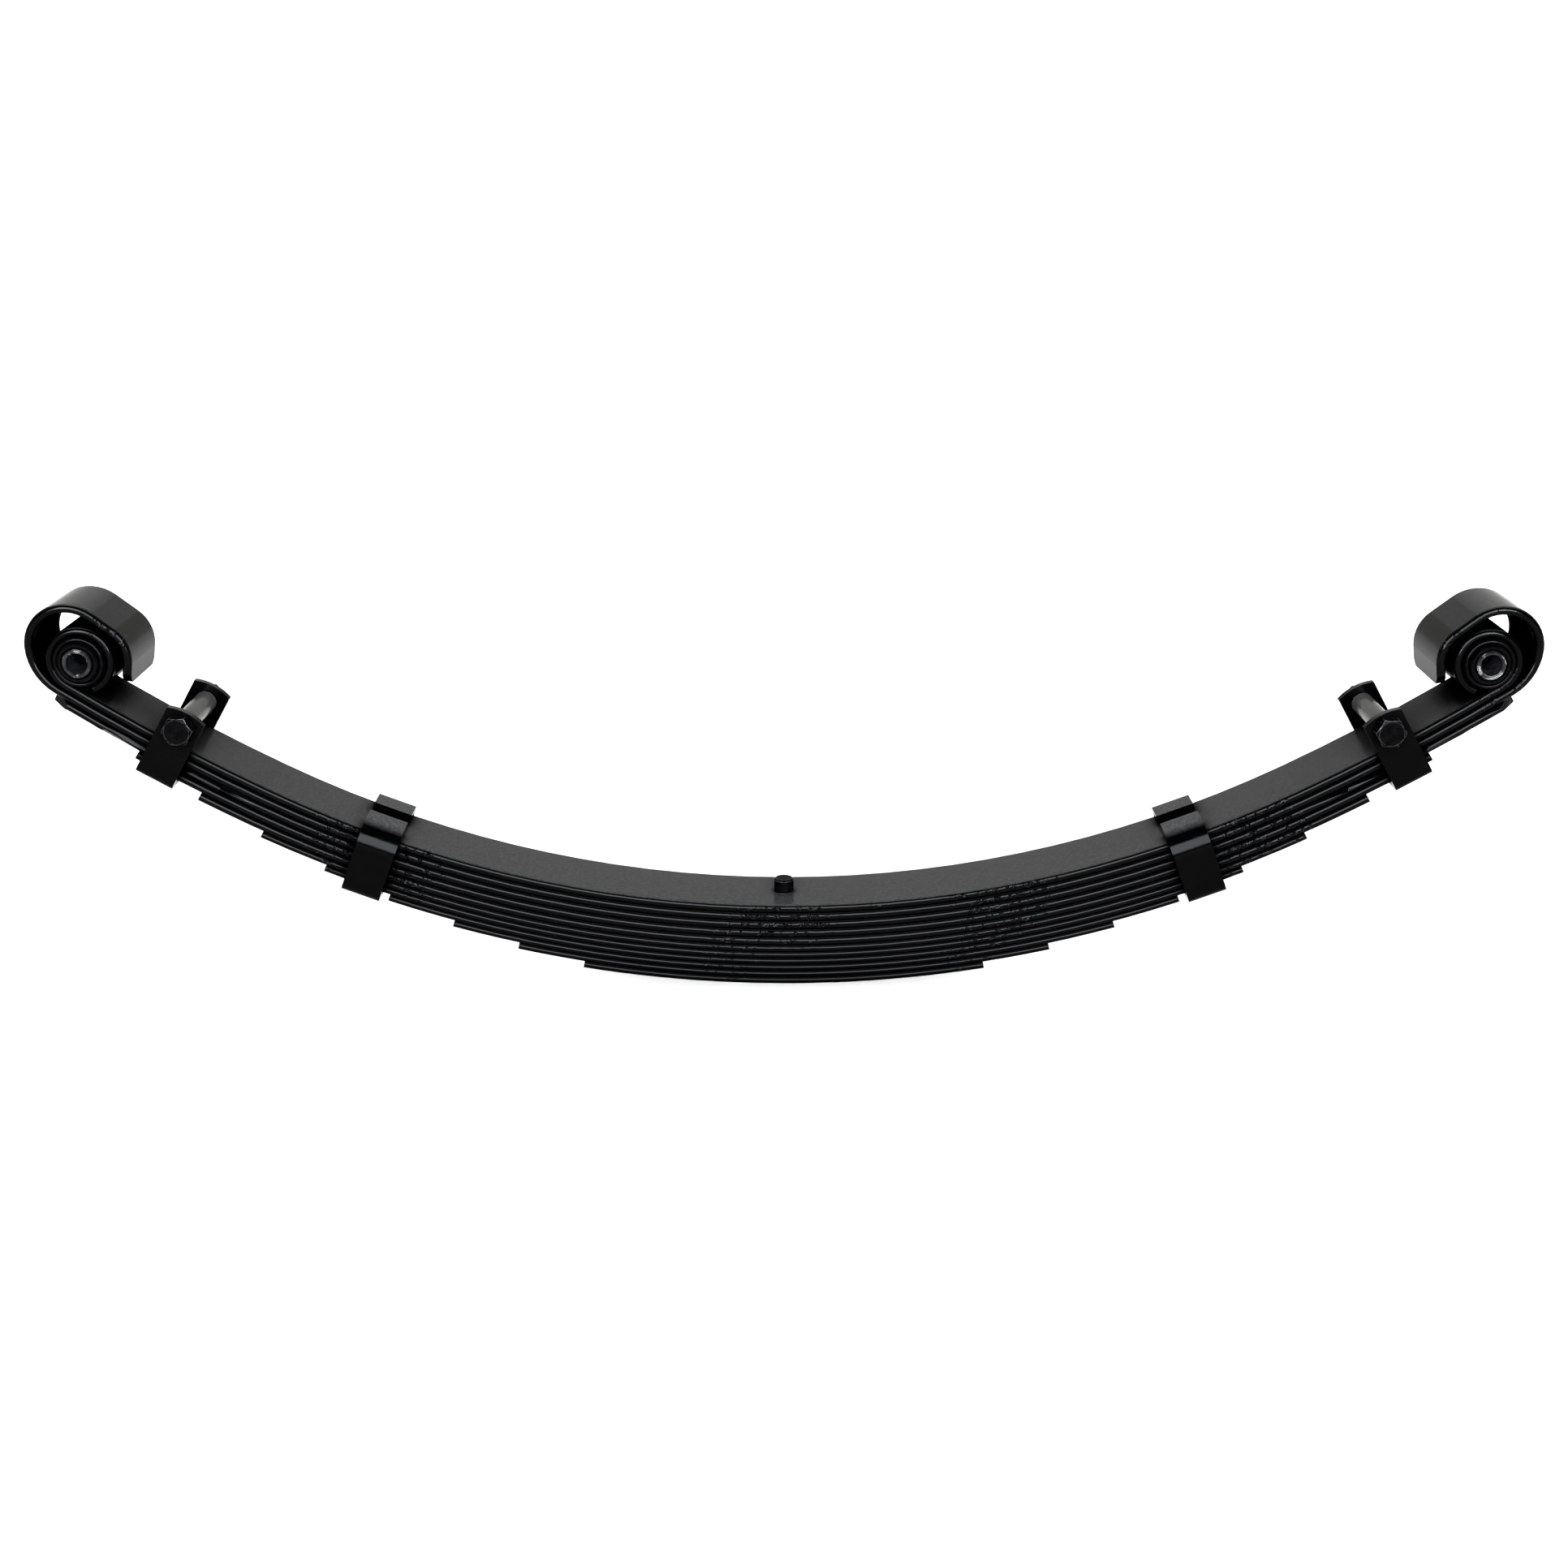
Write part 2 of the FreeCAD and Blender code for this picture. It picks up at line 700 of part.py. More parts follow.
# ---------------------------------------------------------------- bolted clips
def strap_loop(sketch, corners, radii):
    """Closed outline through corners, each rounded to its own radius."""
    count = len(corners)
    entries = []
    for here in range(count):
        before = corners[here - 1]
        corner = corners[here]
        after = corners[(here + 1) % count]
        radius = radii[here]
        if radius == 0:
            entries.append((corner, corner, None))
            continue
        to_before = (before - corner).normalize()
        to_after = (after - corner).normalize()
        half = to_before.getAngle(to_after) / 2
        reach = radius / math.tan(half)
        start = corner + to_before * reach
        finish = corner + to_after * reach
        bisector = (to_before + to_after).normalize()
        centre = corner + bisector * (radius / math.sin(half))
        middle = centre - bisector * radius
        entries.append((start, finish, Part.Arc(start, middle, finish)))
    curves = []
    for here in range(count):
        arc = entries[here][2]
        if arc is not None:
            curves.append(arc)
        leave = entries[here][1]
        arrive = entries[(here + 1) % count][0]
        if (leave - arrive).Length > 1e-6:
            curves.append(Part.LineSegment(leave, arrive))
    indices = []
    for curve in curves:
        indices.append(sketch.addGeometry(curve, False))
    join_ends(sketch, indices)


def build_clip_strap(label, side):
    """Strap riveted under leaf 4, its two ears standing above the main leaf."""
    body = new_body(label)
    sketch = new_sketch(body, label + "_profile", "YZ_Plane")
    inside = dim("clip_inside") / 2
    thick = dim("clip_thick")
    outside = inside + thick
    floor = -pack_depth(4) - dim("strap_gap")
    top = dim("clip_ear")
    bend = dim("clip_bend")
    corners = [
        V(-outside, top, 0),
        V(-outside, floor - thick, 0),
        V(outside, floor - thick, 0),
        V(outside, top, 0),
        V(inside, top, 0),
        V(inside, floor, 0),
        V(-inside, floor, 0),
        V(-inside, top, 0),
    ]
    radii = [0, bend + thick, bend + thick, 0, 0, bend, bend, 0]
    strap_loop(sketch, corners, radii)
    symmetric_pad(body, label + "_bar", sketch, dim("clip_width"), "dimensions.clip_width")
    arch = new_sketch(body, label + "_arch", "XZ_Plane")
    crown = dim("clip_crown")
    reach = dim("clip_width")
    centre = V(0, top - crown, 0)
    swing = math.asin(reach / crown)
    up = math.pi / 2
    curve = arch.addGeometry(
        Part.ArcOfCircle(Part.Circle(centre, V(0, 0, 1), crown), up - swing, up + swing), False
    )
    shoulder = top - crown + crown * math.cos(swing)
    loop = [
        V(-reach, shoulder, 0),
        V(-reach, top + 10, 0),
        V(reach, top + 10, 0),
        V(reach, shoulder, 0),
    ]
    lines = [curve]
    for here in range(3):
        lines.append(arch.addGeometry(Part.LineSegment(loop[here], loop[here + 1]), False))
    join_ends(arch, lines)
    bind_radius(arch, curve, "crown", crown, "dimensions.clip_crown")
    through_pocket(body, label + "_arched_ears", arch)
    round_hole(body, label + "_bolt_hole", "XZ_Plane", V(0, dim("clip_bolt_up"), 0),
               dim("clip_hole"), "dimensions.clip_hole")
    round_hole(body, label + "_rivet_hole", "XY_Plane", V(0, 0, 0), dim("rivet_radius") + 0.05,
               "dimensions.rivet_radius + 0.05")
    body.Placement = seat(dim("clip_arc"), side)
    return body


def clip_point(side, y):
    """Point on the clip bolt's axis."""
    place = seat(dim("clip_arc"), side)
    return place.multVec(V(0, y, dim("clip_bolt_up")))


def build_clip_bolt(label, side):
    outside = dim("clip_inside") / 2 + dim("clip_thick")
    start = clip_point(side, -outside - 0.03)
    head = hex_block(label + "_head", "clip_af", "clip_head", V(0, -1, 0), start)
    reach = 2 * outside + dim("clip_nut_tall") + dim("clip_stub")
    shank = cylinder(label + "_shank", dim("clip_shank"), reach + 1, "dimensions.clip_shank",
                     "dimensions.clip_inside + 2 * dimensions.clip_thick + dimensions.clip_nut_tall"
                     " + dimensions.clip_stub + 1", start - V(0, 1, 0))
    doc.recompute()
    joined = fuse(label + "_forged", head, shank)
    doc.recompute()
    tip = start.y + reach
    point = doc.addObject("Part::Chamfer", label)
    point.Base = joined
    edges = []
    for number, edge in enumerate(joined.Shape.Edges, start=1):
        box = edge.BoundBox
        if box.YLength < 1e-6 and abs(box.YMin - tip) < 1e-3:
            edges.append((number, 1.0, 1.0))
    point.Edges = edges
    point.Label = label
    return point


def build_clip_nut(label, side):
    outside = dim("clip_inside") / 2 + dim("clip_thick")
    start = clip_point(side, outside + 0.03)
    block = hex_block(label + "_block", "clip_af", "clip_nut_tall", V(0, 1, 0), start, both=True)
    bore = cylinder(label + "_bore", dim("clip_shank") + 0.03, dim("clip_nut_tall") + 2,
                    "dimensions.clip_shank + 0.03", "dimensions.clip_nut_tall + 2",
                    start - V(0, 1, 0))
    nut = cut(label, block, bore)
    nut.Label = label
    return nut


def build_spacer(label, side):
    half = dim("clip_inside") / 2 - dim("tube_gap")
    base = clip_point(side, -half)
    outside = cylinder(label + "_outside", dim("tube_outer"), 2 * half, "dimensions.tube_outer",
                       "dimensions.clip_inside - 2 * dimensions.tube_gap", base)
    bore = cylinder(label + "_bore", dim("clip_shank") + dim("tube_play"), 2 * half + 2,
                    "dimensions.clip_shank + dimensions.tube_play",
                    "dimensions.clip_inside - 2 * dimensions.tube_gap + 2", base - V(0, 1, 0))
    tube = cut(label, outside, bore)
    tube.Label = label
    return tube


# ---------------------------------------------------------------- band clips
def build_band_strap(label, side):
    """Strap riveted under leaf 7, closed over the main leaf by two bent tabs."""
    body = new_body(label)
    sketch = new_sketch(body, label + "_profile", "YZ_Plane")
    thick = dim("band_thick")
    inside = dim("leaf_width") / 2 + dim("band_side")
    outside = inside + thick
    under = -pack_depth(7) - dim("strap_gap")
    over = dim("band_over")
    foot = dim("band_foot")
    crown = dim("band_crown")
    front = dim("band_front_tip")
    back = dim("band_back_tip")
    corners = [
        V(front, over + thick, 0),
        V(-outside, over + thick, 0),
        V(-outside, under - thick, 0),
        V(outside, under - thick, 0),
        V(outside, over + thick, 0),
        V(back, over + thick, 0),
        V(back, over, 0),
        V(inside, over, 0),
        V(inside, under, 0),
        V(-inside, under, 0),
        V(-inside, over, 0),
        V(front, over, 0),
    ]
    radii = [0, crown + thick, foot + thick, foot + thick, crown + thick, 0, 0, crown, foot, foot, crown, 0]
    strap_loop(sketch, corners, radii)
    symmetric_pad(body, label + "_bar", sketch, dim("band_width"), "dimensions.band_width")
    doc.recompute()
    through_rivet(body, label)
    body.Placement = seat(dim("band_arc"), side)
    return body


def through_rivet(body, label):
    """Rivet hole through the bottom of a band, clear of the tabs above."""
    sketch = new_sketch(body, label + "_rivet_sketch", "XY_Plane")
    radius = dim("rivet_radius") + 0.05
    circle = sketch.addGeometry(Part.Circle(V(0, 0, 0), V(0, 0, 1), radius), False)
    bind_radius(sketch, circle, "hole", radius, "dimensions.rivet_radius + 0.05")
    pocket = body.newObject("PartDesign::Pocket", label + "_rivet_hole")
    pocket.Profile = sketch
    pocket.Type = "ThroughAll"
    sketch.Visibility = False
    return pocket


# ---------------------------------------------------------------- rivets
def build_rivet(label, side, distance, leaf, strap_thick):
    """Rivet through a leaf and the strap below it: flush on top, round head underneath."""
    body = new_body(label)
    sketch = new_sketch(body, label + "_half", "XZ_Plane")
    top = -drop(leaf) - 0.3
    under = -pack_depth(leaf) - dim("strap_gap") - strap_thick - 0.03
    shank = dim("rivet_radius")
    head = dim("rivet_head")
    dome = dim("rivet_dome")
    ball = (head * head + dome * dome) / (2 * dome)
    middle = math.asin(head / ball) / 2
    points = [
        V(0, under - dome, 0),
        V(0, top, 0),
        V(shank, top, 0),
        V(shank, under, 0),
        V(head, under, 0),
    ]
    lines = []
    for here in range(len(points) - 1):
        lines.append(sketch.addGeometry(Part.LineSegment(points[here], points[here + 1]), False))
    low = V(ball * math.sin(middle), under - dome + ball - ball * math.cos(middle), 0)
    lines.append(sketch.addGeometry(Part.Arc(points[-1], low, points[0]), False))
    join_ends(sketch, lines)
    wide = sketch.addConstraint(Sketcher.Constraint("DistanceX", -1, 1, lines[2], 1, shank))
    sketch.renameConstraint(wide, "shank_radius")
    sketch.setExpression("Constraints.shank_radius", "dimensions.rivet_radius")
    spin = body.newObject("PartDesign::Revolution", label + "_turned")
    spin.Profile = sketch
    spin.ReferenceAxis = (sketch, ["V_Axis"])
    spin.Angle = 360.0
    sketch.Visibility = False
    body.Placement = seat(distance, side)
    return body


def relabelled_cut(base, name, tools):
    """Cut tools from a finished leaf one after another; the result takes the leaf's name."""
    label = base.Label
    base.Label = label + "_before_" + name
    result = base
    for number, tool in enumerate(tools, start=1):
        result = cut("%s_%s_%d" % (label, name, number), result, tool)
    result.Label = label
    return result


def drill_leaf(leaf_object, leaf, distance):
    """Rivet holes in a leaf, square to it, one on each side."""
    drills = []
    for name, side in SIDES:
        place = seat(distance, side)
        start = place.multVec(V(0, 0, -pack_depth(leaf) - 10))
        along = place.Rotation.multVec(V(0, 0, 1))
        drills.append(turned("%s_drill_%02d" % (name, leaf), dim("rivet_radius") + 0.05, 40, start, along,
                             "dimensions.rivet_radius + 0.05", "40 mm"))
    return relabelled_cut(leaf_object, "drilled", drills)


def trim_wrap(leaf_object):
    """Cut the corners of the wrapped ends at 45 degrees."""
    top, bottom = strip_outline(2, wrapped_end())
    outer_start, outer_end = ends_of(bottom[-1])
    inner_end = ends_of(top[-1])[1]
    size = dim("wrap_corner") * math.sqrt(2)
    tall = 3 * thickness(2)
    cutters = []
    for name, side in SIDES:
        for edge, tag in ((-1, "front"), (1, "back")):
            end = (outer_end + inner_end) / 2
            corner = V(side * end.x, edge * dim("leaf_width") / 2, end.y)
            run = outer_end - outer_start
            along = V(side * run.x, 0, run.y).normalize()
            across = V(0, edge, 0)
            through = along.cross(across)
            first = (along + across).normalize()
            turn = FreeCAD.Rotation(first, through.cross(first), through, "ZXY")
            box = doc.addObject("Part::Box", "%s_%s_corner" % (name, tag))
            box.setExpression("Length", "dimensions.wrap_corner * sqrt(2)")
            box.setExpression("Width", "dimensions.wrap_corner * sqrt(2)")
            box.Height = tall
            offset = turn.multVec(V(size / 2, size / 2, tall / 2))
            box.Placement = FreeCAD.Placement(corner - offset, turn)
            cutters.append(box)
    return relabelled_cut(leaf_object, "trimmed", cutters)


# ---------------------------------------------------------------- build
leaves = build_leaves()
CLIP_LEAF = 4
BAND_LEAF = 7
leaves[2] = trim_wrap(leaves[2])
leaves[CLIP_LEAF] = drill_leaf(leaves[CLIP_LEAF], CLIP_LEAF, dim("clip_arc"))
leaves[BAND_LEAF] = drill_leaf(leaves[BAND_LEAF], BAND_LEAF, dim("band_arc"))
exports = list(leaves.values())
exports.append(build_centre_bolt())
exports.append(build_centre_nut())
for side_name, side_sign in SIDES:
    centre = eye_centre(side_sign)
    exports.append(build_bushing(side_name + "_eye_bushing_front", centre, -1))
    exports.append(build_bushing(side_name + "_eye_bushing_back", centre, 1))
    exports.append(build_sleeve(side_name + "_eye_sleeve", centre))
    exports.append(build_clip_strap(side_name + "_clip_strap", side_sign))
    exports.append(build_clip_bolt(side_name + "_clip_bolt", side_sign))
    exports.append(build_clip_nut(side_name + "_clip_nut", side_sign))
    exports.append(build_spacer(side_name + "_clip_spacer", side_sign))
    exports.append(build_rivet(side_name + "_clip_rivet", side_sign, dim("clip_arc"), CLIP_LEAF,
                               dim("clip_thick")))
    exports.append(build_band_strap(side_name + "_band_strap", side_sign))
    exports.append(build_rivet(side_name + "_band_rivet", side_sign, dim("band_arc"), BAND_LEAF,
                               dim("band_thick")))

doc.recompute()
for item in doc.Objects:
    if "Invalid" in item.State or "Error" in item.State:
        raise RuntimeError("%s is %s" % (item.Label, item.State))

for item in exports:
    shape = item.Shape
    if shape.isNull() or not shape.isValid() or len(shape.Solids) != 1:
        raise RuntimeError("%s has a bad shape" % item.Label)
    shape.exportStep("parts/%s.step" % item.Label)
    print("%s %.0f mm3" % (item.Label, shape.Volume))
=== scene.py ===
import json
import math
import bpy
import bmesh
from mathutils import Matrix, Vector


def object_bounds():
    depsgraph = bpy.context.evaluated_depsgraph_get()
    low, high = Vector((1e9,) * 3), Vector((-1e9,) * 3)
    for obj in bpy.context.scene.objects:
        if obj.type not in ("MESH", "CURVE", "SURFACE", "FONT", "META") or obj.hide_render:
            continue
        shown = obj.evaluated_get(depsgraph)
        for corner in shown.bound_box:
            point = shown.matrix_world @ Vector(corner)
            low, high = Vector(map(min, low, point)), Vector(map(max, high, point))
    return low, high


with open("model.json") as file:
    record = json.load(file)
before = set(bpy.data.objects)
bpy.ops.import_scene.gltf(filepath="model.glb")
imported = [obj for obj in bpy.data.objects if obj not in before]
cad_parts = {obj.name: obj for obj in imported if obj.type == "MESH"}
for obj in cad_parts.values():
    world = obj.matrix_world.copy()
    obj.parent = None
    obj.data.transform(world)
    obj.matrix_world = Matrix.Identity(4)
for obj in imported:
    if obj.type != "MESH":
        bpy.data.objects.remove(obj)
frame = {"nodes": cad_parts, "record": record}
first_low, first_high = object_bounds()
nodes = frame["nodes"]

# ---------------------------------------------------------------- driving values, metres
CAMERA_TILT = math.radians(17.95)     # how far the camera looks down
CAMERA_ROLL = math.radians(0.08)
CAMERA_DISTANCE = 1.530               # from the camera to the front plane of the leaves
CAMERA_HEIGHT_OF_AIM = 0.0940         # the picture's centre, above the main leaf's top face
FOCAL_SHARE = 1.3561077               # focal length as a share of the picture's width
SENSOR = 36.0                         # millimetres
LEAF_FRONT = -0.03175                 # the leaves' front plane: half their width before the middle
STRAP_EDGE = 0.0006                   # softened edges of the clip and band straps
SPACER_EDGE = 0.0004
WEAR_EDGE = 0.0003                    # how far wear reaches in from a fastener's edges
RIM_EDGE = 0.0006                     # the same at the ends of the turned tubes
FLOOR_HALF = 30.0
FLOOR_GAP = 0.0002                    # the floor lies this far below the lowest leaf

# ---------------------------------------------------------------- colours and strengths
BLACK = (0.00005, 0.00006, 0.00007)
BOLT_BLACKS = ((0.0001, 0.0001, 0.00012), (0.0003, 0.0003, 0.0004))
RUBBER_BLACKS = ((0.00006, 0.00006, 0.00008), (0.0002, 0.0002, 0.00025))
WORN_BOLT = (0.11, 0.105, 0.10)
BRIGHT_RIM = (0.60, 0.60, 0.58)
SLEEVE_TONES = ((0.004, 0.004, 0.0045), (0.001, 0.001, 0.0012))
SPACER_TONES = ((0.020, 0.019, 0.017), (0.010, 0.0095, 0.008))
FLOOR_GREYS = ((0.60, 0.60, 0.60), (0.62, 0.62, 0.62))
# Warm tint of the top film, which is part dust and part painted sheen.
DUST_AND_SHEEN_TINT = (1.0, 0.98, 0.94)
BOLT_SHINE = 0.010
RUBBER_SHINE = 0.020
FLOOR_SHINE = 0.05
COOL = (0.88, 0.94, 1.0)
WHITE = (1.0, 1.0, 1.0)
DOME_COLOUR = (1.0, 1.0, 0.96, 1.0)


# ---------------------------------------------------------------- node helpers
class Tree:
    """A material's node tree with short calls for the nodes used here."""

    def __init__(self, material):
        material.use_nodes = True
        self.tree = material.node_tree
        self.tree.nodes.clear()
        self.output = self.add("ShaderNodeOutputMaterial")
        self.shader = self.add("ShaderNodeBsdfPrincipled")
        self.link(self.shader.outputs["BSDF"], self.output.inputs["Surface"])
        self.place = self.add("ShaderNodeTexCoord").outputs["Object"]

    def add(self, kind):
        return self.tree.nodes.new(kind)

    def link(self, source, target):
        self.tree.links.new(source, target)

    def feed(self, socket, value):
        if isinstance(value, (int, float)):
            socket.default_value = value
        elif isinstance(value, tuple):
            socket.default_value = value if len(value) == len(socket.default_value) else (*value, 1.0)
        else:
            self.link(value, socket)

    def set(self, name, value):
        self.feed(self.shader.inputs[name], value)

    def stretched(self, scale):
        mapping = self.add("ShaderNodeMapping")
        mapping.inputs["Scale"].default_value = scale
        self.link(self.place, mapping.inputs["Vector"])
        return mapping.outputs["Vector"]

    def noise(self, scale, detail=3.0, rough=0.55, stretch=None, warp=0.0):
        item = self.add("ShaderNodeTexNoise")
        item.inputs["Scale"].default_value = scale
        item.inputs["Detail"].default_value = detail
        item.inputs["Roughness"].default_value = rough
        item.inputs["Distortion"].default_value = warp
        self.link(self.stretched(stretch) if stretch else self.place, item.inputs["Vector"])
        return item.outputs["Fac"]

    def spread(self, value, low, high, to_low=0.0, to_high=1.0):
        """Smoothly maps low..high of a value on to_low..to_high."""
        item = self.add("ShaderNodeMapRange")
        item.interpolation_type = "SMOOTHSTEP"
        self.feed(item.inputs["Value"], value)
        item.inputs["From Min"].default_value = low
        item.inputs["From Max"].default_value = high
        item.inputs["To Min"].default_value = to_low
        item.inputs["To Max"].default_value = to_high
        return item.outputs["Result"]

    def math(self, operation, a, b=0.0):
        item = self.add("ShaderNodeMath")
        item.operation = operation
        self.feed(item.inputs[0], a)
        self.feed(item.inputs[1], b)
        return item.outputs[0]

    def mix(self, factor, a, b):
        item = self.add("ShaderNodeMix")
        item.data_type = "RGBA"
        self.feed(item.inputs["Factor"], factor)
        self.feed(item.inputs["A"], a)
        self.feed(item.inputs["B"], b)
        return item.outputs["Result"]

    def bump(self, height, strength, distance, below=None):
        item = self.add("ShaderNodeBump")
        item.inputs["Strength"].default_value = strength
        item.inputs["Distance"].default_value = distance
        self.feed(item.inputs["Height"], height)
        if below is not None:
            self.link(below, item.inputs["Normal"])
        return item.outputs["Normal"]

    def edges(self, radius):
        """1 on convex edges, 0 on flats."""
        bevel = self.add("ShaderNodeBevel")
        bevel.samples = 6
        bevel.inputs["Radius"].default_value = radius
        geometry = self.add("ShaderNodeNewGeometry")
        dot = self.add("ShaderNodeVectorMath")
        dot.operation = "DOT_PRODUCT"
        self.link(bevel.outputs["Normal"], dot.inputs[0])
        self.link(geometry.outputs["Normal"], dot.inputs[1])
        return self.spread(dot.outputs["Value"], 0.995, 0.9)

    def upward(self):
        """The surface normal's upward share."""
        geometry = self.add("ShaderNodeNewGeometry")
        split = self.add("ShaderNodeSeparateXYZ")
        self.link(geometry.outputs["Normal"], split.inputs[0])
        return split.outputs["Z"]

    def painted_shade_mask(self, distance):
        """Painted shade mask: 1 on open surfaces, falling to 0 deep in gaps."""
        item = self.add("ShaderNodeAmbientOcclusion")
        item.samples = 8
        item.inputs["Distance"].default_value = distance
        return self.spread(item.outputs["AO"], 0.45, 0.95)


def material(name):
    return bpy.data.materials.new(name)


# ---------------------------------------------------------------- materials
def black_paint(name, tone, dust_and_sheen, shine, drips):
    """Black spring paint: fine grain, patchy gloss and runs on the sides, with a film on upward faces
    that is part dust and part painted sheen; the film and the reflection fade out in gaps as painted
    shade.
    """
    item = material(name)
    t = Tree(item)
    grain = t.noise(1500.0, 4.0, 0.7)
    mottle = t.noise(70.0, 5.0, 0.6, warp=0.4)
    cloud = t.noise(14.0, 3.0, 0.5)
    brush = t.noise(60.0, 4.0, 0.6, stretch=(0.12, 1.0, 1.0))
    # Painted shade: this mask keeps the top film out of gaps and dims the paint's reflection there.
    out_of_shade = t.painted_shade_mask(0.05)
    # Film on upward faces: part dust, part painted sheen that lightens the tops.
    dust_and_sheen_film = t.math("MULTIPLY", t.spread(t.upward(), 0.70, 0.96), out_of_shade)
    light = tuple(c * 1.8 for c in tone)
    # Colour of the film: dust and painted sheen.
    dust_and_sheen_colour = tuple(dust_and_sheen * c for c in DUST_AND_SHEEN_TINT)
    base = t.mix(t.spread(mottle, 0.35, 0.7), tone, light)
    flecks = t.noise(420.0, 4.0, 0.7)
    # Where the film lies, broken by flecks: dust and painted sheen.
    dust_and_sheen_cover = t.math("MULTIPLY", dust_and_sheen_film, t.spread(flecks, 0.34, 0.66, 0.55, 1.0))
    base = t.mix(dust_and_sheen_cover, base, dust_and_sheen_colour)
    t.set("Base Color", base)
    gloss = t.math("ADD", t.spread(mottle, 0.3, 0.75, 0.08, 0.15), t.spread(cloud, 0.3, 0.7, -0.03, 0.05))
    t.set("Roughness", gloss)
    # Painted shade: the paint's reflection is dimmed in gaps.
    t.set("Specular IOR Level", t.math("MULTIPLY", out_of_shade, shine))
    low = t.bump(brush, 0.22, 0.0003)
    fine = t.bump(grain, 0.30, 0.00010, below=low)
    if drips:
        runs = t.noise(190.0, 3.0, 0.6, stretch=(1.0, 0.3, 0.6), warp=0.8)
        patch = t.spread(t.noise(9.0, 1.0), 0.55, 0.66)
        side = t.spread(t.upward(), 0.8, 0.3)
        height = t.math("MULTIPLY", t.spread(runs, 0.50, 0.7), t.math("MULTIPLY", patch, side))
        fine = t.bump(height, 1.0, 0.0012, below=fine)
    t.set("Normal", fine)
    return item


def bolt_paint(name):
    """Black painted fastener, rubbed to grey steel along its edges."""
    item = material(name)
    t = Tree(item)
    grain = t.noise(1800.0, 3.0, 0.6)
    chips = t.noise(500.0, 3.0, 0.6)
    mottle = t.noise(180.0, 4.0, 0.6)
    edge = t.edges(WEAR_EDGE)
    bare = t.math("MULTIPLY", edge, t.spread(chips, 0.36, 0.52))
    paint = t.mix(t.spread(mottle, 0.35, 0.7), *BOLT_BLACKS)
    t.set("Base Color", t.mix(bare, paint, WORN_BOLT))
    t.set("Metallic", t.math("MULTIPLY", bare, 0.8))
    t.set("Roughness", t.spread(mottle, 0.3, 0.7, 0.20, 0.34))
    t.set("Specular IOR Level", BOLT_SHINE)
    t.set("Normal", t.bump(grain, 0.3, 0.0001))
    return item


def rubber(name):
    """Moulded black rubber with faint flow marks; its reflection is dimmed in hollows as painted shade.
    """
    item = material(name)
    t = Tree(item)
    grain = t.noise(1300.0, 4.0, 0.65)
    flow = t.noise(120.0, 3.0, 0.5, warp=1.2)
    t.set("Base Color", t.mix(t.spread(flow, 0.35, 0.7), *RUBBER_BLACKS))
    t.set("Roughness", t.spread(flow, 0.3, 0.75, 0.14, 0.26))
    # Painted shade: the rubber's reflection is dimmed in hollows.
    t.set("Specular IOR Level", t.math("MULTIPLY", t.painted_shade_mask(0.02), RUBBER_SHINE))
    t.set("Normal", t.bump(grain, 0.30, 0.0001, below=t.bump(flow, 0.3, 0.0004)))
    return item


def turned_steel(name, tones, stain_from, metal, shine):
    """Oiled steel with fine turning marks round its axis, which runs along Y, and bright rims; its
    reflection is dimmed in hollows as painted shade.
    """
    item = material(name)
    t = Tree(item)
    tone, stain = tones
    rings = t.noise(60.0, 3.0, 0.6, stretch=(0.6, 60.0, 0.6))
    blotch = t.noise(140.0, 5.0, 0.65, warp=0.7)
    stained = t.spread(blotch, stain_from, stain_from + 0.24)
    bright = t.mix(t.spread(rings, 0.35, 0.65), tuple(c * 0.8 for c in tone), tone)
    worn_rim = t.math("MULTIPLY", t.edges(RIM_EDGE), t.spread(t.noise(75.0, 2.0), 0.50, 0.58))
    t.set("Base Color", t.mix(worn_rim, t.mix(stained, bright, stain), BRIGHT_RIM))
    t.set("Metallic", t.spread(worn_rim, 0.0, 1.0, metal, 1.0))
    # Painted shade: the steel's reflection is dimmed in hollows and the bore.
    t.set("Specular IOR Level", t.math("MULTIPLY", t.painted_shade_mask(0.03), shine))
    t.set("Roughness", t.spread(blotch, 0.35, 0.7, 0.12, 0.24))
    t.set("Normal", t.bump(rings, 0.18, 0.0001))
    return item


def floor_material():
    """Plain pale floor with a barely visible cloudiness."""
    item = material("studio_floor")
    t = Tree(item)
    weave = t.noise(5.0, 2.0)
    t.set("Base Color", t.mix(t.spread(weave, 0.3, 0.7), *FLOOR_GREYS))
    t.set("Roughness", 0.85)
    t.set("Specular IOR Level", FLOOR_SHINE)
    return item


MATERIALS = {
    # The third argument sets the top film's strength: part dust, part painted sheen.
    "leaf_paint": black_paint("leaf_paint", BLACK, dust_and_sheen=0.0135, shine=0.028, drips=True),
    "clip_paint": black_paint("clip_paint", BLACK, dust_and_sheen=0.020, shine=0.019, drips=False),
    "bolt_paint": bolt_paint("bolt_paint"),
    "bushing_rubber": rubber("bushing_rubber"),
    "sleeve_steel": turned_steel("sleeve_steel", SLEEVE_TONES, stain_from=0.40, metal=0.0, shine=0.10),
    "spacer_steel": turned_steel("spacer_steel", SPACER_TONES, stain_from=0.46, metal=0.04, shine=0.06),
}


def dress(item, slot_name):
    item.data.materials.clear()
    item.data.materials.append(MATERIALS[slot_name])


def dress_nodes():
    for entry in frame["record"]["subparts"]:
        dress(nodes[entry["node"]], entry["material_slot"])


